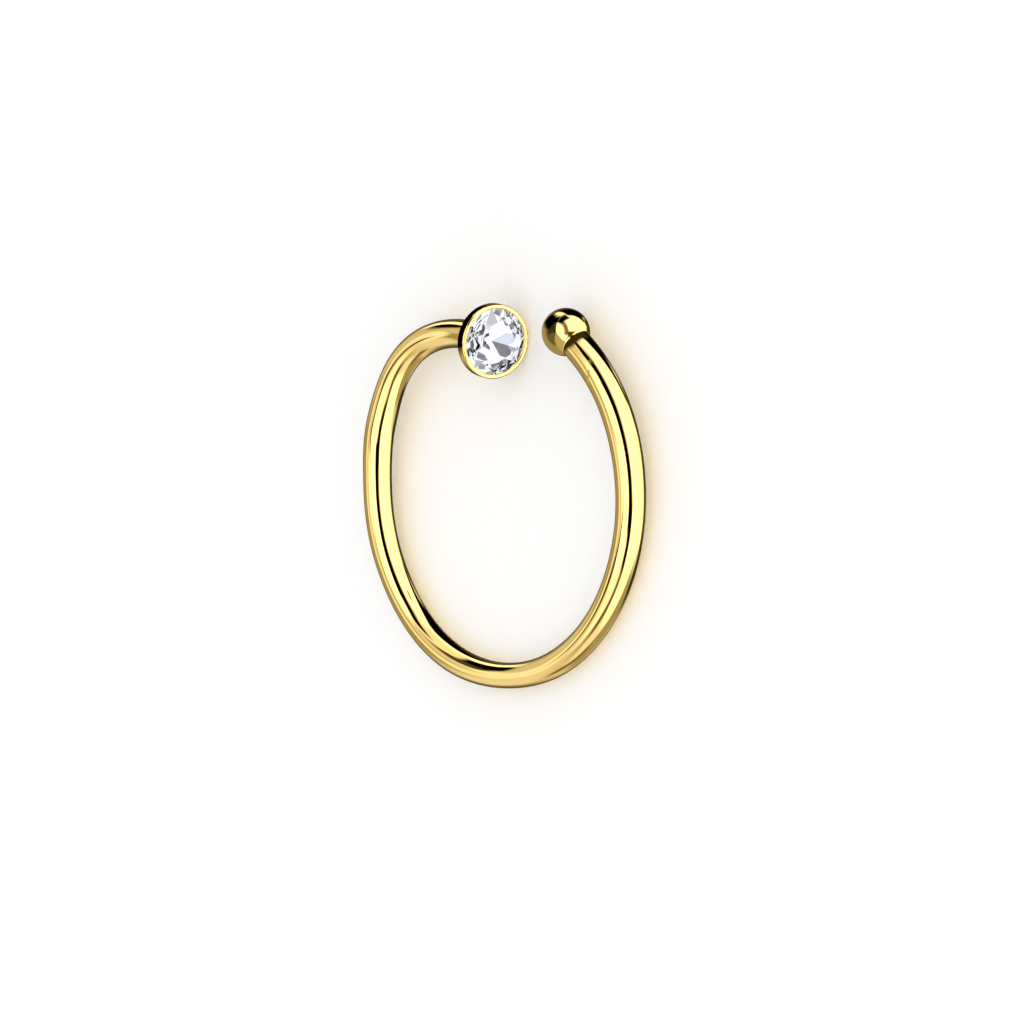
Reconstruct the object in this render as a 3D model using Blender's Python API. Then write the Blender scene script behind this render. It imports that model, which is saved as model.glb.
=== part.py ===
"""An open nose ring: a hoop of gold-plated wire that ends in a ball on one side of its gap and, on the
other, in a small cup that holds a round foil-backed crystal.

The wire, the ball and the cup are soldered and plated together, so they are one solid. The ring is laid
out with the hoop's centre at the origin, the hoop's axis along Z and the gap towards +Y. It is then tipped
on to the three points that it rests on when it lies on its side, and its box is centred on the origin.
"""

import math

import bmesh
import bpy
from mathutils import Matrix, Vector, geometry

# Hoop wire. Lengths are in metres, angles in degrees, anticlockwise from +X as seen from +Z.
HOOP_RADIUS = 0.00470
WIRE_DIAMETER = 0.00074
WIRE_START_ANGLE = 47.2
WIRE_END_ANGLE = -220.0

# Ball end
BALL_DIAMETER = 0.00120
BALL_FILLET = 0.00005

# Setting. The inset is measured from the hoop's circle to the middle of the lip, the rise above its plane.
SETTING_ANGLE = 82.2
SETTING_INSET = 0.00101
SETTING_RISE = 0.00025
SETTING_DIP_ANGLE = 11.9
SETTING_LEAN_ANGLE = 12.5
CUP_WALL = 0.00006
CUP_BAND = 0.00028
CUP_FLOOR = 0.00050
CUP_SHOULDER = 0.00010
LIP_GRIP = 0.00003
LIP_HEIGHT = 0.00005

# Crystal
CRYSTAL_DIAMETER = 0.00172
TABLE_DIAMETER = 0.00100
CROWN_HEIGHT = 0.00018
GIRDLE_HEIGHT = 0.00004
PAVILION_DEPTH = 0.00032
CRYSTAL_TURN = 8.0
CRYSTAL_CLEARANCE = 0.00002
GLUE_DEPTH = 0.00005

# Densities of sterling silver and of lead-free crystal glass, in kg per cubic metre
METAL_DENSITY = 10360.0
GLASS_DENSITY = 2550.0

# How far the wire's middle lies from the hoop's centre, and how thick the wire is, along the hoop:
# angle, share of HOOP_RADIUS, share of WIRE_DIAMETER
WIRE_SECTIONS = (
    (50.0, 0.989, 1.06),
    (20.0, 1.000, 1.06),
    (-20.0, 1.000, 1.00),
    (-60.0, 1.000, 0.93),
    (-90.0, 0.996, 0.87),
    (-125.0, 1.009, 0.98),
    (-160.0, 0.995, 0.99),
    (-185.0, 0.987, 0.99),
    (-204.0, 1.002, 1.03),
    (-220.0, 1.011, 0.99),
)

# How far the arm's two ends run on before it bends, as shares of the straight distance between them
ARM_START_REACH = 0.45
ARM_END_REACH = 0.30

# How near the culet the lower rim facets reach, as a share of the girdle's radius, and how much of the
# cone behind the crystal is open in the cup
LOWER_FACET_SHARE = 0.50
CONE_SHARE = 0.9

# Mesh counts
SIDES = 24
HOOP_STEP = 4.0
ARM_STEPS = 10
BALL_STEPS = 9
FILLET_STEPS = 3
LIP_STEPS = 4

# How far apart along the hoop the two points are that give the wire's direction, in degrees
DIRECTION_STEP = 1.0

HOOP_AXIS = Vector((0, 0, 1))

# What a length across the middle of one of eight sides is to the length to its corner
HALF_FACET = math.cos(math.pi / 8)


class Ring:
    """One ring of the surface round the wire's line: its middle, its radius and two directions across."""

    def __init__(self, middle, along, radius):
        self.middle = middle
        self.up = (HOOP_AXIS - along * HOOP_AXIS.dot(along)).normalized()
        self.out = self.up.cross(along)
        self.radius = radius

    def points(self):
        for side in range(SIDES):
            turn = 2 * math.pi * side / SIDES
            across = self.out * math.cos(turn) + self.up * math.sin(turn)
            yield self.middle + across * self.radius


def smooth_between(table, angle, column):
    """The value of a table's column at an angle, eased from one row to the next."""
    for row, following in zip(table, table[1:]):
        if angle >= following[0]:
            share = (row[0] - angle) / (row[0] - following[0])
            share = min(max(share, 0), 1)
            eased = share * share * (3 - 2 * share)
            return row[column] + (following[column] - row[column]) * eased
    return table[-1][column]


def wire_radius(angle):
    return WIRE_DIAMETER / 2 * smooth_between(WIRE_SECTIONS, angle, 2)


def hoop_point(angle):
    reach = HOOP_RADIUS * smooth_between(WIRE_SECTIONS, angle, 1)
    turn = math.radians(angle)
    return Vector((reach * math.cos(turn), reach * math.sin(turn), 0))


def hoop_direction(angle):
    """The way the wire runs at an angle, from the ball towards the setting."""
    half = DIRECTION_STEP / 2
    return (hoop_point(angle - half) - hoop_point(angle + half)).normalized()


def hoop_rings():
    steps = round((WIRE_START_ANGLE - WIRE_END_ANGLE) / HOOP_STEP)
    for step in range(steps + 1):
        angle = WIRE_START_ANGLE + (WIRE_END_ANGLE - WIRE_START_ANGLE) * step / steps
        yield Ring(hoop_point(angle), hoop_direction(angle), wire_radius(angle))


def ball_rings():
    """The ball and the fillet to the wire, from the ball's tip on."""
    along = hoop_direction(WIRE_START_ANGLE)
    wire = wire_radius(WIRE_START_ANGLE)
    ball = BALL_DIAMETER / 2
    fillet_height = wire + BALL_FILLET
    fillet_offset = math.sqrt((ball + BALL_FILLET) ** 2 - fillet_height**2)
    ball_middle = hoop_point(WIRE_START_ANGLE) - along * fillet_offset
    meet = math.atan2(fillet_height, fillet_offset)
    for step in range(1, BALL_STEPS + 1):
        turn = (math.pi - meet) * step / BALL_STEPS
        middle = ball_middle - along * ball * math.cos(turn)
        yield Ring(middle, along, ball * math.sin(turn))
    for step in range(1, FILLET_STEPS):
        turn = meet + (math.pi / 2 - meet) * step / FILLET_STEPS
        offset = fillet_offset - BALL_FILLET * math.cos(turn)
        radius = fillet_height - BALL_FILLET * math.sin(turn)
        yield Ring(ball_middle + along * offset, along, radius)


def ball_tip():
    wire = wire_radius(WIRE_START_ANGLE)
    reach = math.sqrt((BALL_DIAMETER / 2 + BALL_FILLET) ** 2 - (wire + BALL_FILLET) ** 2)
    along = hoop_direction(WIRE_START_ANGLE)
    return hoop_point(WIRE_START_ANGLE) - along * (reach + BALL_DIAMETER / 2)


def setting_direction():
    """The way the crystal faces: nearly along the hoop, dipping inwards and leaning towards +Z."""
    dip = math.radians(SETTING_DIP_ANGLE)
    lean = math.radians(SETTING_LEAN_ANGLE)
    return Vector((math.cos(dip) * math.cos(lean), -math.sin(dip) * math.cos(lean), math.sin(lean)))


def lip_middle():
    turn = math.radians(SETTING_ANGLE)
    reach = HOOP_RADIUS - SETTING_INSET
    return Vector((reach * math.cos(turn), reach * math.sin(turn), SETTING_RISE))


def star_corner():
    """Where the star facets' outer corners lie, on the main facets: radius, and height above the girdle."""
    girdle = CRYSTAL_DIAMETER / 2
    table = TABLE_DIAMETER / 2
    radius = (table + girdle) / 2
    return radius, CROWN_HEIGHT * (girdle - radius * HALF_FACET) / (girdle - table)


def girdle_depth():
    """How far the top of the crystal's girdle lies behind the front of the lip, which just clears the crown."""
    radius, height = star_corner()
    steepest = height / (CRYSTAL_DIAMETER / 2 - radius)
    return LIP_HEIGHT + LIP_GRIP * steepest + CRYSTAL_CLEARANCE


def cup_depth():
    return girdle_depth() + GIRDLE_HEIGHT + PAVILION_DEPTH + GLUE_DEPTH + CUP_FLOOR


def arm_rings():
    """The last stretch of wire, bent inwards from the hoop's circle to the back of the cup."""
    start = hoop_point(WIRE_END_ANGLE)
    end = lip_middle() - setting_direction() * cup_depth()
    span = (end - start).length
    after_start = start + hoop_direction(WIRE_END_ANGLE) * span * ARM_START_REACH
    before_end = end - setting_direction() * span * ARM_END_REACH
    line = geometry.interpolate_bezier(start, after_start, before_end, end, 2 * ARM_STEPS + 1)
    radius = wire_radius(WIRE_END_ANGLE)
    for step in range(1, ARM_STEPS):
        along = (line[2 * step + 1] - line[2 * step - 1]).normalized()
        yield Ring(line[2 * step], along, radius)
    yield Ring(end, setting_direction(), radius)


def cup_profile():
    """The cup's outline as (distance in front of the lip's front, radius), up its outside and down its inside."""
    girdle = CRYSTAL_DIAMETER / 2
    pocket = girdle + CRYSTAL_CLEARANCE
    outside = pocket + CUP_WALL
    opening = girdle - LIP_GRIP
    back = -cup_depth()
    seat = -girdle_depth() - GIRDLE_HEIGHT - GLUE_DEPTH
    yield back, wire_radius(WIRE_END_ANGLE) + CUP_SHOULDER
    yield -CUP_BAND, outside
    lip_half = (outside - opening) / 2
    for step in range(LIP_STEPS + 1):
        turn = math.pi * step / LIP_STEPS
        yield LIP_HEIGHT * (math.sin(turn) - 1), opening + lip_half * (1 + math.cos(turn))
    yield -girdle_depth() + CRYSTAL_CLEARANCE / 2, pocket
    yield seat, pocket
    yield seat - PAVILION_DEPTH * CONE_SHARE, pocket * (1 - CONE_SHARE)


def cup_rings():
    for distance, radius in cup_profile():
        yield Ring(lip_middle() + setting_direction() * distance, setting_direction(), radius)


def cup_bottom():
    return lip_middle() - setting_direction() * (cup_depth() - CUP_FLOOR)


def lofted(name, first_point, rings, last_point):
    """A closed surface through the rings, drawn together to a point at each end."""
    mesh = bmesh.new()
    first = mesh.verts.new(first_point)
    rows = [[mesh.verts.new(point) for point in ring.points()] for ring in rings]
    last = mesh.verts.new(last_point)
    for side in range(SIDES):
        beside = (side + 1) % SIDES
        mesh.faces.new((first, rows[0][beside], rows[0][side]))
        for row, following in zip(rows, rows[1:]):
            mesh.faces.new((row[side], row[beside], following[beside], following[side]))
        mesh.faces.new((last, rows[-1][side], rows[-1][beside]))
    return finished(name, mesh)


def finished(name, mesh):
    data = bpy.data.meshes.new(name)
    mesh.to_mesh(data)
    mesh.free()
    piece = bpy.data.objects.new(name, data)
    bpy.context.scene.collection.objects.link(piece)
    return piece


def make_hoop():
    rings = [*ball_rings(), *hoop_rings(), *arm_rings(), *cup_rings()]
    return lofted("hoop", ball_tip(), rings, cup_bottom())


def facet_corner(radius, height, eighths):
    """A corner of the crystal at a number of eighths of a turn, before it is set in the cup."""
    turn = math.radians(45 * eighths + CRYSTAL_TURN)
    return Vector((radius * math.cos(turn), radius * math.sin(turn), height))


def make_crystal():
    """A round brilliant: table, 8 star, 8 main and 16 rim facets above the girdle, 8 and 16 below it."""
    girdle = CRYSTAL_DIAMETER / 2
    star, star_height = star_corner()
    lower = girdle * LOWER_FACET_SHARE
    lower_depth = GIRDLE_HEIGHT + PAVILION_DEPTH * (1 - lower * HALF_FACET / girdle)

    mesh = bmesh.new()

    def corners(radius, height, first, step):
        return [
            mesh.verts.new(facet_corner(radius, height, first + step * k)) for k in range(round(8 / step))
        ]

    table_middle = mesh.verts.new((0, 0, CROWN_HEIGHT))
    table_ring = corners(TABLE_DIAMETER / 2, CROWN_HEIGHT, 0, 1)
    star_ring = corners(star, star_height, 0.5, 1)
    top_ring = corners(girdle, 0, 0, 0.5)
    bottom_ring = corners(girdle, -GIRDLE_HEIGHT, 0, 0.5)
    lower_ring = corners(lower, -lower_depth, 0.5, 1)
    culet = mesh.verts.new((0, 0, -GIRDLE_HEIGHT - PAVILION_DEPTH))

    for k in range(8):
        beside = (k + 1) % 8
        corner, middle, far = 2 * k, 2 * k + 1, (2 * k + 2) % 16
        mesh.faces.new((table_middle, table_ring[k], table_ring[beside]))
        mesh.faces.new((table_ring[k], star_ring[k], table_ring[beside]))
        mesh.faces.new((table_ring[k], star_ring[k - 1], top_ring[corner], star_ring[k]))
        mesh.faces.new((star_ring[k], top_ring[corner], top_ring[middle]))
        mesh.faces.new((star_ring[k], top_ring[middle], top_ring[far]))
        mesh.faces.new((top_ring[corner], bottom_ring[corner], bottom_ring[middle], top_ring[middle]))
        mesh.faces.new((top_ring[middle], bottom_ring[middle], bottom_ring[far], top_ring[far]))
        mesh.faces.new((culet, lower_ring[k], bottom_ring[corner], lower_ring[k - 1]))
        mesh.faces.new((lower_ring[k], bottom_ring[middle], bottom_ring[corner]))
        mesh.faces.new((lower_ring[k], bottom_ring[far], bottom_ring[middle]))
    mesh.transform(crystal_place())
    return finished("crystal", mesh)


def crystal_place():
    """Where the crystal's girdle sits in the cup, and which way it faces."""
    seat = Ring(lip_middle() - setting_direction() * girdle_depth(), setting_direction(), 0)
    place = Matrix((seat.out, seat.up, setting_direction())).transposed().to_4x4()
    place.translation = seat.middle
    return place


def volume_and_moment(piece):
    """The piece's volume, and its volume times the place of its centre."""
    volume = 0
    moment = Vector((0, 0, 0))
    mesh = piece.data
    mesh.calc_loop_triangles()
    for triangle in mesh.loop_triangles:
        a, b, c = (mesh.vertices[k].co for k in triangle.vertices)
        part = a.dot(b.cross(c)) / 6
        volume += part
        moment += (a + b + c) * (part / 4)
    return volume, moment


def centre_of_mass(weighted_pieces):
    mass = 0
    moment = Vector((0, 0, 0))
    for piece, density in weighted_pieces:
        volume, turned = volume_and_moment(piece)
        mass += volume * density
        moment += turned * density
    return moment / mass


def resting_turn(pieces, balance):
    """The turn that brings down the outer triangle under the centre of mass, where the ring is stable."""
    hull = bmesh.new()
    for piece in pieces:
        for vertex in piece.data.vertices:
            hull.verts.new(vertex.co)
    bmesh.ops.convex_hull(hull, input=hull.verts)
    bmesh.ops.triangulate(hull, faces=hull.faces)
    hull.normal_update()
    under = [
        face.normal.copy()
        for face in hull.faces
        if face.normal.z < 0
        and geometry.intersect_ray_tri(*(v.co for v in face.verts), face.normal, balance)
    ]
    hull.free()
    lowest = min(under, key=lambda normal: normal.z)
    return lowest.rotation_difference(-HOOP_AXIS).to_matrix().to_4x4()


def lay_down(pieces, balance):
    """Tips the pieces on to their resting points, with the middle of their box's underside at the origin."""
    turn = resting_turn(pieces, balance)
    for piece in pieces:
        piece.data.transform(turn)
    points = [vertex.co for piece in pieces for vertex in piece.data.vertices]
    low = Vector(min(point[k] for point in points) for k in range(3))
    high = Vector(max(point[k] for point in points) for k in range(3))
    foot = Vector(((low.x + high.x) / 2, (low.y + high.y) / 2, low.z))
    for piece in pieces:
        piece.data.transform(Matrix.Translation(-foot))


def make_material(name, colour, metallic, roughness, transmission=0.0, ior=1.5):
    material = bpy.data.materials.new(name)
    material.use_nodes = True
    shader = material.node_tree.nodes["Principled BSDF"]
    shader.inputs["Base Color"].default_value = (*colour, 1)
    shader.inputs["Metallic"].default_value = metallic
    shader.inputs["Roughness"].default_value = roughness
    shader.inputs["Transmission Weight"].default_value = transmission
    shader.inputs["IOR"].default_value = ior
    return material


def main():
    for thing in list(bpy.data.objects):
        bpy.data.objects.remove(thing)
    hoop = make_hoop()
    crystal = make_crystal()
    balance = centre_of_mass(((hoop, METAL_DENSITY), (crystal, GLASS_DENSITY)))
    lay_down((hoop, crystal), balance)
    hoop.data.materials.append(make_material("gold_plate", (0.87, 0.62, 0.24), 1.0, 0.08))
    crystal.data.materials.append(
        make_material("crystal_glass", (0.96, 0.97, 1.0), 0.0, 0.0, transmission=1.0, ior=1.56)
    )
    hoop.data.shade_smooth()
    hoop.data.set_sharp_from_angle(angle=math.radians(40))


main()
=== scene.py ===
"""The looks of the open nose ring: polished gold plate, a foil-backed crystal, and a pale studio round it.

Lengths are in metres and angles in degrees. The ring's shape is worked out in its own layout, with the
hoop's centre at the origin, the hoop's axis along Z and the gap towards +Y, from the same sizes as its
solids. It is then placed where the solids lie.
"""

import math

import bmesh
import bpy
import numpy as np
from mathutils import Matrix, Vector, geometry


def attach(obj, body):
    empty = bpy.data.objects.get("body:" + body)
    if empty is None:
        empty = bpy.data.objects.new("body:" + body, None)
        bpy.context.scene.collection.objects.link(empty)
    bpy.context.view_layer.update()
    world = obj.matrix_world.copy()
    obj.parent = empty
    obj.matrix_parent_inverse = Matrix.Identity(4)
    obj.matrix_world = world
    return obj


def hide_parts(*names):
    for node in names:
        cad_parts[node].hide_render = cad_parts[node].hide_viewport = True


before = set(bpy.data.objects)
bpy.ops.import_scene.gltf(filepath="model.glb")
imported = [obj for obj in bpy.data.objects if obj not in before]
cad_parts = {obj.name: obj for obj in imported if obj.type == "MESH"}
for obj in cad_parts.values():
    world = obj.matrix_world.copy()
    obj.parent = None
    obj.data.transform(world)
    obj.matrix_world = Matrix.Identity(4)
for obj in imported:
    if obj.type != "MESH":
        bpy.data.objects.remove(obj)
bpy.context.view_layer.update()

# Hoop wire, ball end, setting and crystal: the sizes that the solids have
HOOP_RADIUS = 0.00470
WIRE_DIAMETER = 0.00074
WIRE_START_ANGLE = 47.2
WIRE_END_ANGLE = -220.0
BALL_DIAMETER = 0.00120
BALL_FILLET = 0.00005
SETTING_ANGLE = 82.2
SETTING_INSET = 0.00101
SETTING_RISE = 0.00025
SETTING_DIP_ANGLE = 11.9
SETTING_LEAN_ANGLE = 12.5
CUP_WALL = 0.00006
CUP_BAND = 0.00028
CUP_FLOOR = 0.00050
CUP_SHOULDER = 0.00010
LIP_GRIP = 0.00003
LIP_HEIGHT = 0.00005
CRYSTAL_DIAMETER = 0.00172
TABLE_DIAMETER = 0.00100
CROWN_HEIGHT = 0.00018
GIRDLE_HEIGHT = 0.00004
PAVILION_DEPTH = 0.00032
CRYSTAL_TURN = 8.0
CRYSTAL_CLEARANCE = 0.00002
GLUE_DEPTH = 0.00005
LOWER_FACET_SHARE = 0.50
CONE_SHARE = 0.9
ARM_START_REACH = 0.45
ARM_END_REACH = 0.30

# Along the hoop: angle, share of HOOP_RADIUS, share of WIRE_DIAMETER
WIRE_SECTIONS = (
    (50.0, 0.989, 1.06),
    (20.0, 1.000, 1.06),
    (-20.0, 1.000, 1.00),
    (-60.0, 1.000, 0.93),
    (-90.0, 0.996, 0.87),
    (-125.0, 1.009, 0.98),
    (-160.0, 0.995, 0.99),
    (-185.0, 0.987, 0.99),
    (-204.0, 1.002, 1.03),
    (-220.0, 1.011, 0.99),
)

# Mesh counts, finer than the solids', and the angle from which an edge shows as one
SIDES = 96
HOOP_STEP = 1.0
ARM_STEPS = 48
BALL_STEPS = 48
FILLET_STEPS = 10
LIP_STEPS = 20
SHARP_EDGE_ANGLE = 30
DIRECTION_STEP = 1.0

HOOP_AXIS = Vector((0, 0, 1))
HALF_FACET = math.cos(math.pi / 8)
SAME_DIRECTION = 0.9999
STRAIGHT_UP = 90

# Camera: which way and how far it is from the hoop's centre, and where that centre shows in the picture
CAMERA_SWING = 47.45
CAMERA_ROLL = 4.35
CAMERA_DISTANCE = 0.180
PICTURE_SIZE = 1024
PIXELS_PER_METRE = 40000.0
CENTRE_PIXEL = (500.9, 488.7)
SENSOR_WIDTH = 36.0

# Materials: pairs of colours, ranges of roughness, and the sizes of grain and relief
GOLD_COLOURS = ((0.965, 0.69, 0.24, 1), (0.935, 0.67, 0.23, 1))
GOLD_COLOUR_GRAIN = 0.0009
GOLD_ROUGHNESS = (0.03, 0.07)
GOLD_WEAR_GRAIN = 0.00025
WAVE_LENGTH = 0.0012
WAVE_HEIGHT = 2.0e-6
MARK_LENGTH = 0.00005
MARK_HEIGHT = 1.5e-8
GLASS_COLOURS = ((0.955, 0.965, 0.99, 1), (0.985, 0.99, 1.0, 1))
GLASS_GRAIN = 0.0006
GLASS_IOR = 1.56
FOIL_COLOURS = ((0.93, 0.93, 0.95, 1), (0.98, 0.98, 0.98, 1))
FOIL_COLOUR_GRAIN = 0.0003
FOIL_ROUGHNESS = (0.0, 0.02)
FOIL_WEAR_GRAIN = 0.0001
NOISE_RANGE = (0.3, 0.7)

FLOOR_SIZE = 0.6
FLOOR_COLOURS = ((0.915, 0.915, 0.915, 1), (0.935, 0.935, 0.935, 1))
FLOOR_ROUGHNESS = 0.8
FLOOR_GRAIN = 0.0004

# The shares of its green and its blue that a light loses for each step of warmth
WARMTH_LOSS = (0.06, 0.3)

# Studio cards as the polished gold sees them, each painted over those before it. A card has its middle's
# azimuth and elevation, its half widths along and across, the softness of its ends and of its sides, its
# tilt, its brightness and its warmth. Azimuth 0 is +X, the camera's side, and 90 is +Y.
STUDIO_LEVEL = 0.8
STUDIO_WARMTH = 0.3
STUDIO_CARDS = (
    (180, 12, 32, 26, 16, 14, 0, 0.42, 1.3),
    (-142, 18, 16, 20, 16, 16, 0, 0.92, -0.2),
    (180, 42, 36, 6, 24, 8, 0, 1.2, -0.3),
    (160, 20, 12, 16, 10, 10, 0, 0.75, 0.2),
    (180, 60, 34, 11, 20, 10, 0, 0.85, 0.1),
    (-75, 60, 62, 13, 30, 10, 0, 1.6, 0.0),
    (-104, 36, 14, 7, 14, 10, 0, 0.6, 0.8),
    (-82, 10, 24, 14, 14, 10, -24, 1.05, -0.4),
    (-58, -2, 20, 32, 16, 10, 0, 1.9, 0),
    (-98, -44, 16, 24, 14, 16, 0, 0.46, 1.3),
    (-86, -36, 30, 26, 12, 3, -34, 0.42, 1.0),
    (-106, -2, 16, 8, 10, 5, -28, 0.24, 1.6),
    (0, 86, 180, 22, 10, 10, 0, 2.1, 0),
    (98, 26, 20, 30, 10, 10, 0, 1.15, -0.2),
    (108, 0, 36, 8, 10, 5, -8, 1.95, 0),
    (18, -17, 62, 46, 10, 6, 0, 2.1, 0),
    (18, -60, 50, 12, 18, 20, 0, 1.6, 0.1),
    (20, 66, 86, 12, 20, 8, 0, 2.1, 0),
    (18, 46.5, 58, 12, 12, 4, 2, 0.0, 0),
    (-36, 38, 22, 9.5, 12, 7, 0, 0.0, 0),
    (86, 49, 18, 8.5, 10, 5, 4, 0.0, 0),
    (-78, 37, 24, 5.5, 20, 8, -6, 0.08, 1.5),
    (-157, 62, 21, 4.5, 8, 5, 55, 0.0, 1.0),
    (172, 62, 14, 4, 10, 8, 88, 0.45, 0.8),
    (134, 42, 14, 9, 8, 8, -30, 0.06, 1.5),
    (131, 21, 14, 14, 6, 6, -12, 0.0, 0),
    (112, -34, 34, 26, 8, 6, -12, 0.0, 0),
    (78, -36, 30, 12, 8, 5, 64, 0.0, 0),
    (-84, -66, 24, 9, 14, 8, 0, 0.0, 1),
    (180, -50, 50, 40, 30, 24, 0, 0.12, 1.5),
    (-110, -76, 60, 12, 20, 8, 0, 0.05, 1),
    (130, -76, 75, 12, 20, 8, 0, 0.05, 1),
    (0, -92, 180, 17, 10, 10, 0, 0.06, 1.2),
)

# The same for the crystal, whose facets each send back one part of it: mostly white, with grey and bluish
# cards
CRYSTAL_LEVEL = 1.15
CRYSTAL_WARMTH = -0.08
CRYSTAL_CARDS = (
    (-38, 20, 18, 6, 6, 4, 0, 0.62, -0.15),
    (-61, 29, 7, 5, 3, 3, 0, 0.2, -0.1),
    (-59, 53, 9, 6, 3, 3, 0, 0.17, -0.1),
    (-72, 54, 6, 4, 3, 3, 0, 0.06, 0),
    (-74, 48, 6, 3, 3, 3, 0, 0.25, 0),
    (-27, 49, 6, 3.5, 2, 2, 0, 0.22, 0),
    (0, 37, 11, 4, 3, 3, 0, 0.06, 0),
    (-3, 49.5, 12, 2.5, 2, 2, 0, 0.06, 0),
    (10, 53, 4, 3, 2, 2, 0, 0.1, 0),
    (24, 34, 8.5, 5.5, 3, 3, 0, 0.13, -0.1),
    (47, 31, 6, 4.5, 2, 2, 0, 0.08, 0),
    (60, 26, 5, 5, 2, 2, 0, 0.24, -0.1),
    (35, 12, 3.5, 3, 2, 2, 0, 0.3, -0.1),
    (15, 10, 3, 4, 2, 2, 0, 0.15, -0.2),
    (5, 12, 5, 4.5, 2, 2, 0, 0.26, -0.2),
    (0, 30, 9, 3, 2, 2, 0, 0.12, 0),
    (-12, 42, 5, 4, 2, 2, 0, 0.1, 0),
    (8, 42.5, 6, 3, 2, 2, 0, 0.1, 0),
    (24, 18, 3.5, 4, 2, 2, 0, 0.2, 0),
    (12, 24.5, 4, 2.5, 2, 2, 0, 0.3, -0.1),
    (72, 30, 5, 4, 2, 2, 0, 0.12, 0),
    (54, 37, 7, 4, 2, 2, 0, 0.08, 0),
    (-36, 54, 5, 4, 3, 3, 0, 0.3, 0),
    (156, -66, 20, 8, 6, 4, 0, 0.25, 0),
    (120, -66, 14, 8, 6, 4, 0, 0.08, 0),
    (24, 5, 2, 2, 1, 1, 0, 0.45, -0.2),
    (27, 51.5, 12, 4.5, 3, 3, 32, 0.32, -1.5),
    (-38, 44, 5, 5, 3, 3, 0, 0.74, -0.8),
    (-84, 49, 4, 5, 3, 3, 0, 0.75, -0.4),
)

# The plain light on everything else
PLAIN_LEVEL = 1.1

# Small one-sided cards close round the ball and the cup, seen only in reflections, which paint highlights and
# shade onto these and hardly onto the rest, laid out for the photographed side: the bright cards are painted
# highlights on the ball, and the dark and dim ones painted shade on the ball and on the cup's side. A card
# has its name, the azimuths and the elevations between which it is mirrored towards the camera, how far along
# the mirrored rays it stands, its brightness and its warmth. Only rays of nearly that length see it, between
# the range's two shares of it.
NEAR_CARD_STEP = 3
NEAR_CARD_SOFTNESS = 12
NEAR_CARD_RANGE = (0.93, 1.07)
BALL_PAINTED_HIGHLIGHTS_AND_SHADE = (
    ("painted_highlight_over", (-27, 99), (45, 90), 0.00100, 2.1, 0.0),
    ("painted_highlight_before", (-66, -18), (27, 90), 0.00101, 2.1, 0.0),
    ("painted_shade_between", (-33, 66), (27, 57), 0.00102, 0.25, 1.2),
    ("painted_shade_above", (54, 99), (-6, 57), 0.00103, 0.0, 0.0),
    ("painted_shade_beside", (84, 168), (12, 57), 0.00104, 0.0, 0.0),
    ("painted_shade_left", (120, 171), (-18, 57), 0.00105, 0.0, 0.0),
    ("painted_shade_corner", (69, 126), (-66, 0), 0.00106, 0.0, 0.0),
    ("painted_shade_top", (84, 195), (36, 90), 0.00107, 0.05, 1.5),
    ("painted_shade_behind", (150, 249), (21, 90), 0.00108, 0.16, 1.3),
    ("painted_shade_under", (150, 252), (-36, 45), 0.00109, 0.38, 1.0),
    ("painted_shade_below", (201, 312), (-9, 90), 0.00110, 0.55, 0.8),
    ("painted_shade_neck", (273, 366), (-48, 48), 0.00111, 0.06, 1.5),
)
# The same for the cup: painted shade, a dark crescent on the cup's side
CUP_PAINTED_SHADE = (
    ("painted_shade_cup_side", (111, 198), (-33, 42), 0.00100, 0.0, 0.0),
)

# How far the middle of the cup's side lies behind the front of its lip
CUP_MIDDLE_DEPTH = 0.0002

# The same for the first stretch of wire beside the ball, between two angles along the hoop: painted shade, a
# dark collar that the wire shows in reflection. It ends sooner towards the wire's inner side, where it tapers
# off between two angles round the wire.
NECK_PAINTED_SHADE = ("painted_shade_wire_start", (WIRE_START_ANGLE, 43.9), 0.00100, 0.04, 2.4)
NECK_CARD_STEPS = 10
NECK_CARD_SOFTNESS = 0.4
NECK_CARD_TAPER = (70, 150)


class Ring:
    """One ring of the surface round the wire's line: its middle, its radius and two directions across."""

    def __init__(self, middle, along, radius):
        self.middle = middle
        self.up = (HOOP_AXIS - along * HOOP_AXIS.dot(along)).normalized()
        self.out = self.up.cross(along)
        self.radius = radius

    def points(self):
        for side in range(SIDES):
            turn = 2 * math.pi * side / SIDES
            across = self.out * math.cos(turn) + self.up * math.sin(turn)
            yield self.middle + across * self.radius


def smooth_between(table, angle, column):
    """The value of a table's column at an angle, eased from one row to the next."""
    for row, following in zip(table, table[1:]):
        if angle >= following[0]:
            share = (row[0] - angle) / (row[0] - following[0])
            share = min(max(share, 0), 1)
            eased = share * share * (3 - 2 * share)
            return row[column] + (following[column] - row[column]) * eased
    return table[-1][column]


def wire_radius(angle):
    return WIRE_DIAMETER / 2 * smooth_between(WIRE_SECTIONS, angle, 2)


def hoop_point(angle):
    reach = HOOP_RADIUS * smooth_between(WIRE_SECTIONS, angle, 1)
    turn = math.radians(angle)
    return Vector((reach * math.cos(turn), reach * math.sin(turn), 0))


def hoop_direction(angle):
    half = DIRECTION_STEP / 2
    return (hoop_point(angle - half) - hoop_point(angle + half)).normalized()


def hoop_rings():
    steps = round((WIRE_START_ANGLE - WIRE_END_ANGLE) / HOOP_STEP)
    for step in range(steps + 1):
        angle = WIRE_START_ANGLE + (WIRE_END_ANGLE - WIRE_START_ANGLE) * step / steps
        yield Ring(hoop_point(angle), hoop_direction(angle), wire_radius(angle))


def ball_offset():
    """How far the ball's middle lies before the start of the wire, where the fillet touches both."""
    reach = BALL_DIAMETER / 2 + BALL_FILLET
    return math.sqrt(reach**2 - (wire_radius(WIRE_START_ANGLE) + BALL_FILLET) ** 2)


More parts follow.
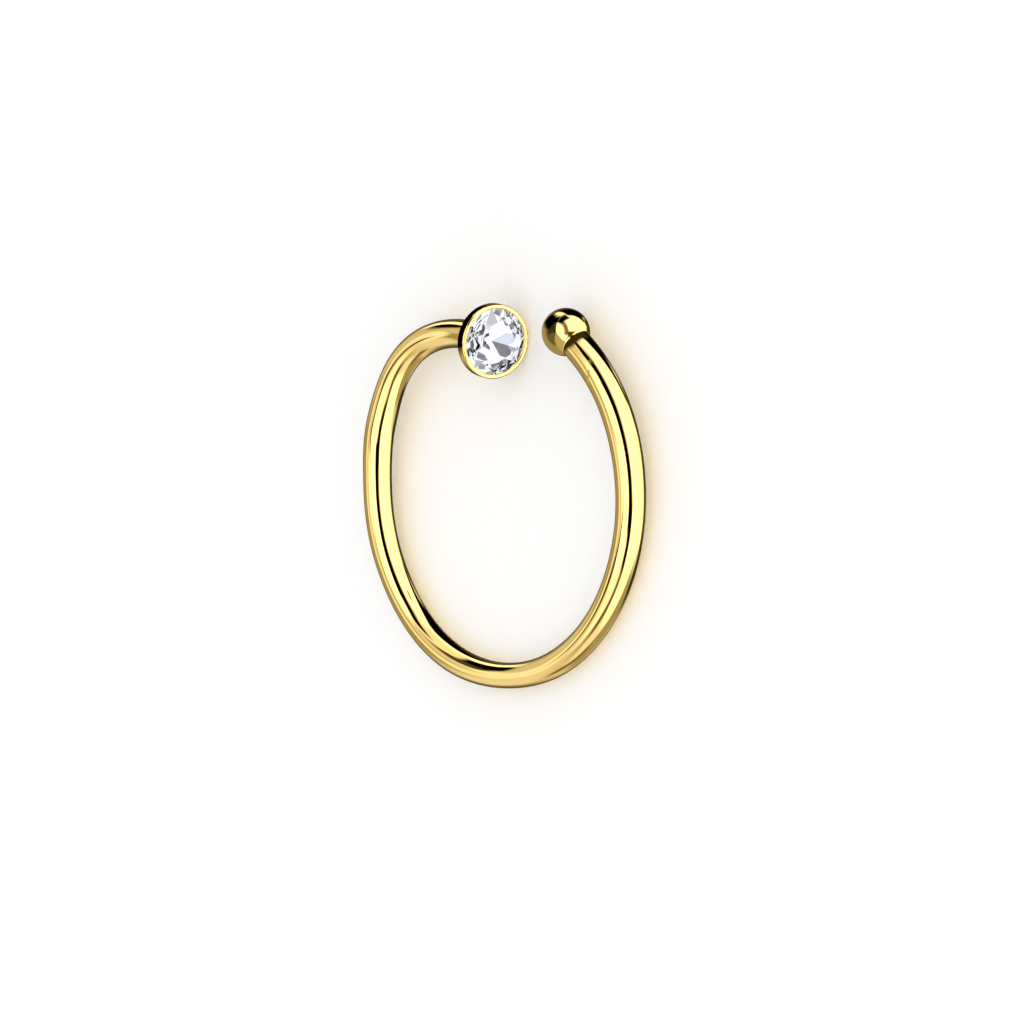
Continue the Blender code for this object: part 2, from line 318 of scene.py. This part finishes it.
def ball_middle():
    return hoop_point(WIRE_START_ANGLE) - hoop_direction(WIRE_START_ANGLE) * ball_offset()


def ball_tip():
    return ball_middle() - hoop_direction(WIRE_START_ANGLE) * BALL_DIAMETER / 2


def ball_rings():
    """The ball and the fillet to the wire, from the ball's tip on."""
    along = hoop_direction(WIRE_START_ANGLE)
    ball = BALL_DIAMETER / 2
    fillet_height = wire_radius(WIRE_START_ANGLE) + BALL_FILLET
    meet = math.atan2(fillet_height, ball_offset())
    for step in range(1, BALL_STEPS + 1):
        turn = (math.pi - meet) * step / BALL_STEPS
        yield Ring(ball_middle() - along * ball * math.cos(turn), along, ball * math.sin(turn))
    for step in range(1, FILLET_STEPS):
        turn = meet + (math.pi / 2 - meet) * step / FILLET_STEPS
        offset = ball_offset() - BALL_FILLET * math.cos(turn)
        yield Ring(ball_middle() + along * offset, along, fillet_height - BALL_FILLET * math.sin(turn))


def setting_direction():
    """The way the crystal faces: nearly along the hoop, dipping inwards and leaning towards +Z."""
    dip = math.radians(SETTING_DIP_ANGLE)
    lean = math.radians(SETTING_LEAN_ANGLE)
    return Vector((math.cos(dip) * math.cos(lean), -math.sin(dip) * math.cos(lean), math.sin(lean)))


def lip_middle():
    turn = math.radians(SETTING_ANGLE)
    reach = HOOP_RADIUS - SETTING_INSET
    return Vector((reach * math.cos(turn), reach * math.sin(turn), SETTING_RISE))


def star_corner():
    """Where the star facets' outer corners lie, on the main facets: radius, and height above the girdle."""
    girdle = CRYSTAL_DIAMETER / 2
    table = TABLE_DIAMETER / 2
    radius = (table + girdle) / 2
    return radius, CROWN_HEIGHT * (girdle - radius * HALF_FACET) / (girdle - table)


def girdle_depth():
    """How far the top of the crystal's girdle lies behind the lip's front, which just clears the crown."""
    radius, height = star_corner()
    steepest = height / (CRYSTAL_DIAMETER / 2 - radius)
    return LIP_HEIGHT + LIP_GRIP * steepest + CRYSTAL_CLEARANCE


def cup_depth():
    return girdle_depth() + GIRDLE_HEIGHT + PAVILION_DEPTH + GLUE_DEPTH + CUP_FLOOR


def arm_rings():
    """The last stretch of wire, bent inwards from the hoop's circle to the back of the cup."""
    start = hoop_point(WIRE_END_ANGLE)
    end = lip_middle() - setting_direction() * cup_depth()
    span = (end - start).length
    after_start = start + hoop_direction(WIRE_END_ANGLE) * span * ARM_START_REACH
    before_end = end - setting_direction() * span * ARM_END_REACH
    line = geometry.interpolate_bezier(start, after_start, before_end, end, 2 * ARM_STEPS + 1)
    radius = wire_radius(WIRE_END_ANGLE)
    for step in range(1, ARM_STEPS):
        along = (line[2 * step + 1] - line[2 * step - 1]).normalized()
        yield Ring(line[2 * step], along, radius)
    yield Ring(end, setting_direction(), radius)


def cup_profile():
    """The cup's outline, up its outside and down its inside: distance before the lip's front, radius."""
    girdle = CRYSTAL_DIAMETER / 2
    pocket = girdle + CRYSTAL_CLEARANCE
    outside = pocket + CUP_WALL
    opening = girdle - LIP_GRIP
    back = -cup_depth()
    seat = -girdle_depth() - GIRDLE_HEIGHT - GLUE_DEPTH
    yield back, wire_radius(WIRE_END_ANGLE) + CUP_SHOULDER
    yield -CUP_BAND, outside
    lip_half = (outside - opening) / 2
    for step in range(LIP_STEPS + 1):
        turn = math.pi * step / LIP_STEPS
        yield LIP_HEIGHT * (math.sin(turn) - 1), opening + lip_half * (1 + math.cos(turn))
    yield -girdle_depth() + CRYSTAL_CLEARANCE / 2, pocket
    yield seat, pocket
    yield seat - PAVILION_DEPTH * CONE_SHARE, pocket * (1 - CONE_SHARE)


def cup_rings():
    for distance, radius in cup_profile():
        yield Ring(lip_middle() + setting_direction() * distance, setting_direction(), radius)


def cup_bottom():
    return lip_middle() - setting_direction() * (cup_depth() - CUP_FLOOR)


def make_hoop():
    rings = [*ball_rings(), *hoop_rings(), *arm_rings(), *cup_rings()]
    mesh = bmesh.new()
    first = mesh.verts.new(ball_tip())
    rows = [[mesh.verts.new(point) for point in ring.points()] for ring in rings]
    last = mesh.verts.new(cup_bottom())
    for side in range(SIDES):
        beside = (side + 1) % SIDES
        mesh.faces.new((first, rows[0][beside], rows[0][side]))
        for row, following in zip(rows, rows[1:]):
            mesh.faces.new((row[side], row[beside], following[beside], following[side]))
        mesh.faces.new((last, rows[-1][side], rows[-1][beside]))
    hoop = new_piece("polished_hoop", mesh)
    hoop.data.shade_smooth()
    hoop.data.set_sharp_from_angle(angle=math.radians(SHARP_EDGE_ANGLE))
    return hoop


def new_piece(name, mesh):
    data = bpy.data.meshes.new(name)
    mesh.to_mesh(data)
    mesh.free()
    piece = bpy.data.objects.new(name, data)
    bpy.context.scene.collection.objects.link(piece)
    return piece


def facet_corner(radius, height, eighths):
    turn = math.radians(45 * eighths + CRYSTAL_TURN)
    return Vector((radius * math.cos(turn), radius * math.sin(turn), height))


def make_crystal():
    """A round brilliant, with its foil on the facets below the girdle."""
    girdle = CRYSTAL_DIAMETER / 2
    star, star_height = star_corner()
    lower = girdle * LOWER_FACET_SHARE
    lower_depth = GIRDLE_HEIGHT + PAVILION_DEPTH * (1 - lower * HALF_FACET / girdle)

    mesh = bmesh.new()

    def corners(radius, height, first, step):
        return [
            mesh.verts.new(facet_corner(radius, height, first + step * k)) for k in range(round(8 / step))
        ]

    table_ring = corners(TABLE_DIAMETER / 2, CROWN_HEIGHT, 0, 1)
    star_ring = corners(star, star_height, 0.5, 1)
    top_ring = corners(girdle, 0, 0, 0.5)
    bottom_ring = corners(girdle, -GIRDLE_HEIGHT, 0, 0.5)
    lower_ring = corners(lower, -lower_depth, 0.5, 1)
    culet = mesh.verts.new((0, 0, -GIRDLE_HEIGHT - PAVILION_DEPTH))

    def facet(material, *points):
        mesh.faces.new(points).material_index = material

    glass, foil = 0, 1
    facet(glass, *table_ring)
    for k in range(8):
        beside = (k + 1) % 8
        corner, middle, far = 2 * k, 2 * k + 1, (2 * k + 2) % 16
        facet(glass, table_ring[k], star_ring[k], table_ring[beside])
        facet(glass, table_ring[k], star_ring[k - 1], top_ring[corner], star_ring[k])
        facet(glass, star_ring[k], top_ring[corner], top_ring[middle])
        facet(glass, star_ring[k], top_ring[middle], top_ring[far])
        facet(glass, top_ring[corner], bottom_ring[corner], bottom_ring[middle], top_ring[middle])
        facet(glass, top_ring[middle], bottom_ring[middle], bottom_ring[far], top_ring[far])
        facet(foil, culet, lower_ring[k], bottom_ring[corner], lower_ring[k - 1])
        facet(foil, lower_ring[k], bottom_ring[middle], bottom_ring[corner])
        facet(foil, lower_ring[k], bottom_ring[far], bottom_ring[middle])
    mesh.transform(crystal_place())
    return new_piece("foil_backed_crystal", mesh)


def crystal_place():
    """Where the crystal's girdle sits in the cup, and which way it faces."""
    seat = Ring(lip_middle() - setting_direction() * girdle_depth(), setting_direction(), 0)
    place = Matrix((seat.out, seat.up, setting_direction())).transposed().to_4x4()
    place.translation = seat.middle
    return place


def frame_axes(z_axis, near_x):
    """Three axes at right angles as a matrix's columns: the third is z_axis, the first is near near_x."""
    y_axis = z_axis.cross(near_x).normalized()
    return Matrix((y_axis.cross(z_axis), y_axis, z_axis)).transposed()


def resting_place():
    """The matrix from the ring's own layout to where its solids lie, read from the solids themselves.

    The crystal's table gives a point and a direction, and the lower half of the hoop, which is alike on
    both sides of its plane, gives the hoop's axis.
    """
    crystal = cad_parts["crystal"].data
    table = max(crystal.polygons, key=lambda face: face.area)
    on_table = [face for face in crystal.polygons if face.normal.dot(table.normal) > SAME_DIRECTION]
    corners = {tuple(crystal.vertices[k].co) for face in on_table for k in face.vertices}
    middle = sum((Vector(corner) for corner in corners), Vector()) / len(corners)

    points = np.array([vertex.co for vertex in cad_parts["hoop"].data.vertices])
    lower = points[points[:, 1] < 0]
    _, _, directions = np.linalg.svd(lower - lower.mean(0))
    axis = Vector(directions[2])
    if axis.z < 0:
        axis.negate()

    turn = frame_axes(axis, table.normal) @ frame_axes(HOOP_AXIS, setting_direction()).transposed()
    table_in_layout = crystal_place() @ Vector((0, 0, CROWN_HEIGHT))
    place = turn.to_4x4()
    place.translation = middle - turn @ table_in_layout
    return place


def camera_direction():
    swing = math.radians(CAMERA_SWING)
    return Vector((math.sin(swing), 0, math.cos(swing)))


def make_camera(place):
    """The camera, with the direction and the framing of the photograph, set relative to the hoop."""
    towards = camera_direction()
    upright = Vector((0, 1, 0))
    across = upright.cross(towards)
    roll = math.radians(CAMERA_ROLL)
    right = across * math.cos(roll) - upright * math.sin(roll)
    up = across * math.sin(roll) + upright * math.cos(roll)
    middle_pixel = PICTURE_SIZE / 2
    aside = (middle_pixel - CENTRE_PIXEL[0]) / PIXELS_PER_METRE
    above = (CENTRE_PIXEL[1] - middle_pixel) / PIXELS_PER_METRE

    data = bpy.data.cameras.new("camera")
    data.sensor_width = SENSOR_WIDTH
    data.lens = SENSOR_WIDTH * CAMERA_DISTANCE * PIXELS_PER_METRE / PICTURE_SIZE
    data.clip_start = CAMERA_DISTANCE / 10
    data.clip_end = CAMERA_DISTANCE * 100
    camera = bpy.data.objects.new("camera", data)
    bpy.context.scene.collection.objects.link(camera)
    turned = Matrix((right, up, towards)).transposed().to_4x4()
    turned.translation = towards * CAMERA_DISTANCE + right * aside + up * above
    camera.matrix_world = place @ turned
    bpy.context.scene.camera = camera


def new_material(name, **constants):
    """A material, the nodes to add detail to it with, and its shader with the constants set."""
    material = bpy.data.materials.new(name)
    material.use_nodes = True
    shader = material.node_tree.nodes["Principled BSDF"]
    for socket, value in constants.items():
        shader.inputs[socket].default_value = value
    return material, Nodes(material.node_tree), shader


def make_gold():
    """Polished plate: a little wavy from drawing the wire, with fine polishing marks and uneven colour."""
    material, nodes, shader = new_material("polished_gold_plate", Metallic=1.0)
    colour = nodes.mix(nodes.noise(GOLD_COLOUR_GRAIN), *GOLD_COLOURS)
    roughness = nodes.spread(nodes.noise(GOLD_WEAR_GRAIN, detail=4), *GOLD_ROUGHNESS)
    waves = nodes.bump(nodes.noise(WAVE_LENGTH), WAVE_HEIGHT)
    marks = nodes.bump(nodes.noise(MARK_LENGTH, detail=3), MARK_HEIGHT, normal=waves)
    nodes.link(colour, shader, "Base Color")
    nodes.link(roughness, shader, "Roughness")
    nodes.link(marks, shader, "Normal")
    return material


def make_glass():
    """Clear glass with faint striae in its tint."""
    constants = {"Roughness": 0.0, "IOR": GLASS_IOR, "Transmission Weight": 1.0}
    material, nodes, shader = new_material("clear_crystal", **constants)
    nodes.link(nodes.mix(nodes.noise(GLASS_GRAIN), *GLASS_COLOURS), shader, "Base Color")
    return material


def make_foil():
    """Silver foil, slightly uneven under the glass."""
    material, nodes, shader = new_material("silver_foil", Metallic=1.0)
    nodes.link(nodes.mix(nodes.noise(FOIL_COLOUR_GRAIN), *FOIL_COLOURS), shader, "Base Color")
    nodes.link(nodes.spread(nodes.noise(FOIL_WEAR_GRAIN), *FOIL_ROUGHNESS), shader, "Roughness")
    return material


def direction_at(azimuth, elevation):
    turn, rise = math.radians(azimuth), math.radians(elevation)
    return Vector((math.cos(rise) * math.cos(turn), math.cos(rise) * math.sin(turn), math.sin(rise)))


def make_near_cards(place):
    """The cards round the ball, beside the cup and over the wire's first stretch: painted highlights and
    painted shade that these show in reflection.
    """
    towards_camera = place.to_3x3() @ camera_direction()
    for card in BALL_PAINTED_HIGHLIGHTS_AND_SHADE:
        make_near_card(card, place @ ball_middle(), BALL_DIAMETER / 2, towards_camera)
    cup_middle = lip_middle() - setting_direction() * CUP_MIDDLE_DEPTH
    cup_radius = CRYSTAL_DIAMETER / 2 + CRYSTAL_CLEARANCE + CUP_WALL
    for card in CUP_PAINTED_SHADE:
        make_near_card(card, place @ cup_middle, cup_radius, towards_camera)
    make_neck_card(NECK_PAINTED_SHADE, place, towards_camera)


def make_near_card(card, middle, radius, towards_camera):
    """A patch with soft edges, as far along each mirrored ray of a ball as along the others: a painted
    highlight or painted shade that the ball or the cup shows in reflection.
    """
    name, azimuths, elevations, distance, level, warmth = card
    mesh = bmesh.new()
    cover = mesh.verts.layers.float.new("cover")
    rows = []
    for elevation in range(elevations[0], elevations[1] + 1, NEAR_CARD_STEP):
        row = []
        for azimuth in range(azimuths[0], azimuths[1] + 1, NEAR_CARD_STEP):
            way = direction_at(azimuth, elevation)
            facing = (towards_camera + way).normalized()
            corner = mesh.verts.new(middle + facing * radius + way * distance)
            inside = min(azimuth - azimuths[0], azimuths[1] - azimuth, elevation - elevations[0])
            if elevations[1] < STRAIGHT_UP:
                inside = min(inside, elevations[1] - elevation)
            corner[cover] = min(inside / NEAR_CARD_SOFTNESS, 1)
            row.append(corner)
        rows.append(row)
    for low, high in zip(rows, rows[1:]):
        for k in range(len(low) - 1):
            mesh.faces.new((low[k], high[k], high[k + 1], low[k + 1]))
    finish_near_card(new_piece(name, mesh), distance, level, warmth)


def make_neck_card(card, place, towards_camera):
    """A strip as far along the mirrored rays of the wire's first stretch, with a soft end: painted shade, a
    dark collar that the wire shows in reflection.
    """
    name, angles, distance, level, warmth = card
    mesh = bmesh.new()
    cover = mesh.verts.layers.float.new("cover")
    rows = []
    for step in range(NECK_CARD_STEPS + 1):
        share = step / NECK_CARD_STEPS
        angle = angles[0] + (angles[1] - angles[0]) * share
        ring = Ring(hoop_point(angle), hoop_direction(angle), wire_radius(angle))
        row = []
        for side, point in enumerate(ring.points()):
            taper = (360 * side / SIDES - NECK_CARD_TAPER[0]) / (NECK_CARD_TAPER[1] - NECK_CARD_TAPER[0])
            reach = min(1 - taper, 1)
            facing = place.to_3x3() @ (point - ring.middle).normalized()
            turned_to = facing.dot(towards_camera)
            way = facing * 2 * turned_to - towards_camera
            corner = mesh.verts.new(place @ point + way * distance)
            corner[cover] = min(max((reach - share) / NECK_CARD_SOFTNESS, 0), 1)
            row.append((corner, turned_to > 0))
        rows.append(row)
    for row, following in zip(rows, rows[1:]):
        for side in range(SIDES):
            beside = (side + 1) % SIDES
            corners = (row[side], following[side], following[beside], row[beside])
            if all(seen for _, seen in corners):
                mesh.faces.new([corner for corner, _ in corners])
    finish_near_card(new_piece(name, mesh), distance, level, warmth)


def finish_near_card(card, distance, level, warmth):
    """The card's material, which only mirrored rays see."""
    card.data.materials.append(make_card_material(card.name, distance, level, warmth))
    for ray in ("camera", "diffuse", "transmission", "volume_scatter", "shadow"):
        setattr(card, "visible_" + ray, False)


def make_card_material(name, distance, level, warmth):
    """A glow that is clear from behind and out of its range, and thins out towards the card's edges. It
    lights nothing and shows only in reflections, as a painted highlight or painted shade.
    """
    material, nodes, shader = new_material(name)
    material.node_tree.nodes.remove(shader)
    length = nodes.add("ShaderNodeLightPath", {})["Ray Length"]
    shortest, longest = (distance * share for share in NEAR_CARD_RANGE)
    long_enough = nodes.maths("GREATER_THAN", length, shortest)
    short_enough = nodes.maths("LESS_THAN", length, longest)
    in_range = nodes.maths("MULTIPLY", long_enough, short_enough)
    cover = nodes.add("ShaderNodeAttribute", {}, attribute_name="cover")["Fac"]
    in_front = nodes.maths("SUBTRACT", 1.0, nodes.add("ShaderNodeNewGeometry", {})["Backfacing"])
    share = nodes.maths("MULTIPLY", nodes.maths("MULTIPLY", cover, in_range), in_front)
    clear = nodes.add("ShaderNodeBsdfTransparent", {})[0]
    glow = nodes.add("ShaderNodeEmission", {"Color": light_colour(level, warmth)})[0]
    surface = nodes.add("ShaderNodeMixShader", {0: share, 1: clear, 2: glow})[0]
    nodes.link(surface, material.node_tree.nodes["Material Output"], "Surface")
    material.cycles.emission_sampling = "NONE"
    return material


def make_floor():
    mesh = bmesh.new()
    bmesh.ops.create_grid(mesh, x_segments=1, y_segments=1, size=FLOOR_SIZE / 2)
    floor = new_piece("floor", mesh)
    material, nodes, shader = new_material("pale_card", Roughness=FLOOR_ROUGHNESS)
    nodes.link(nodes.mix(nodes.noise(FLOOR_GRAIN, detail=5), *FLOOR_COLOURS), shader, "Base Color")
    floor.data.materials.append(material)
    floor.visible_glossy = False
    floor.visible_transmission = False


class Nodes:
    """Adds nodes to a node tree, with each input either a number or another node's output."""

    def __init__(self, tree):
        self.tree = tree

    def add(self, kind, inputs, **settings):
        node = self.tree.nodes.new(kind)
        for name, value in settings.items():
            setattr(node, name, value)
        for key, value in inputs.items():
            if isinstance(value, bpy.types.NodeSocket):
                self.tree.links.new(value, node.inputs[key])
            else:
                node.inputs[key].default_value = value
        return node.outputs

    def maths(self, operation, *values):
        return self.add("ShaderNodeMath", dict(enumerate(values)), operation=operation)[0]

    def dot(self, vector, other):
        return self.add("ShaderNodeVectorMath", {0: vector, 1: other}, operation="DOT_PRODUCT")["Value"]

    def within(self, value, half_width, softness):
        """1 near zero and 0 further out than half_width, eased over the softness."""
        inputs = {
            "Value": self.maths("ABSOLUTE", value),
            "From Min": half_width - softness / 2,
            "From Max": half_width + softness / 2,
            "To Min": 1.0,
            "To Max": 0.0,
        }
        return self.add("ShaderNodeMapRange", inputs, interpolation_type="SMOOTHSTEP")["Result"]

    def noise(self, size, detail=2.0):
        """Soft noise in the piece's own space, with grains of a size, mostly within NOISE_RANGE."""
        where = self.add("ShaderNodeTexCoord", {})["Object"]
        inputs = {"Vector": where, "Scale": 1 / size, "Detail": detail}
        return self.add("ShaderNodeTexNoise", inputs)["Fac"]

    def spread(self, value, low, high):
        """A noise with its usual range stretched to go from low to high."""
        ends = {"From Min": NOISE_RANGE[0], "From Max": NOISE_RANGE[1], "To Min": low, "To Max": high}
        return self.add("ShaderNodeMapRange", {"Value": value, **ends})["Result"]

    def bump(self, height, distance, normal=None):
        inputs = {"Height": height, "Distance": distance}
        if normal is not None:
            inputs["Normal"] = normal
        return self.add("ShaderNodeBump", inputs)["Normal"]

    def mix(self, share, first, second):
        return self.add("ShaderNodeMix", {0: share, 6: first, 7: second}, data_type="RGBA")[2]

    def link(self, output, node, socket):
        self.tree.links.new(output, node.inputs[socket])


def light_colour(level, warmth):
    green, blue = (level * (1 - loss * warmth) for loss in WARMTH_LOSS)
    return level, green, blue, 1


def studio_colour(nodes, level, warmth, cards):
    """The studio's colour in the direction looked in."""
    direction = nodes.add("ShaderNodeTexCoord", {})["Generated"]
    height = nodes.maths("ARCSINE", nodes.dot(direction, (0, 0, 1)))
    colour = light_colour(level, warmth)
    for card in cards:
        angles = map(math.radians, card[:7])
        azimuth, elevation, length, width, end_softness, side_softness, tilt = angles
        ahead = nodes.dot(direction, (math.cos(azimuth), math.sin(azimuth), 0))
        aside = nodes.dot(direction, (-math.sin(azimuth), math.cos(azimuth), 0))
        offset = nodes.maths("SUBTRACT", height, elevation)
        spot = nodes.add("ShaderNodeCombineXYZ", {0: nodes.maths("ARCTAN2", aside, ahead), 1: offset})[0]
        along = nodes.within(nodes.dot(spot, (math.cos(tilt), math.sin(tilt), 0)), length, end_softness)
        across = nodes.within(nodes.dot(spot, (-math.sin(tilt), math.cos(tilt), 0)), width, side_softness)
        colour = nodes.mix(nodes.maths("MULTIPLY", along, across), colour, light_colour(*card[7:]))
    return colour


def make_world():
    """Plain pale light, with a studio that the gold mirrors and another that the crystal sends back."""
    world = bpy.data.worlds.new("studio")
    world.use_nodes = True
    bpy.context.scene.world = world
    tree = world.node_tree
    nodes = Nodes(tree)
    for_gold = studio_colour(nodes, STUDIO_LEVEL, STUDIO_WARMTH, STUDIO_CARDS)
    for_crystal = studio_colour(nodes, CRYSTAL_LEVEL, CRYSTAL_WARMTH, CRYSTAL_CARDS)
    rays = nodes.add("ShaderNodeLightPath", {})
    plain = nodes.add("ShaderNodeBackground", {"Color": light_colour(PLAIN_LEVEL, 0)})[0]
    mirrored = nodes.add("ShaderNodeBackground", {"Color": for_gold})[0]
    refracted = nodes.add("ShaderNodeBackground", {"Color": for_crystal})[0]
    seen = nodes.add("ShaderNodeMixShader", {0: rays["Is Glossy Ray"], 1: plain, 2: mirrored})[0]
    seen = nodes.add("ShaderNodeMixShader", {0: rays["Is Transmission Ray"], 1: seen, 2: refracted})[0]
    nodes.link(seen, tree.nodes["World Output"], "Surface")
    tree.nodes.remove(tree.nodes["Background"])
    world.cycles.sampling_method = "NONE"


place = resting_place()
hoop = make_hoop()
hoop.data.transform(place)
hoop.data.materials.append(make_gold())
hoop.visible_transmission = False
hoop.visible_glossy = False
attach(hoop, "root")
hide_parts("hoop")

crystal = make_crystal()
crystal.data.transform(place)
crystal.data.materials.append(make_glass())
crystal.data.materials.append(make_foil())
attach(crystal, "root")
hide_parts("crystal")

make_camera(place)
make_floor()
# Painted highlights and painted shade on the ball, on the cup's side and on the wire beside the ball, in
# reflection
make_near_cards(place)
make_world()
bpy.context.scene.view_settings.view_transform = "Standard"
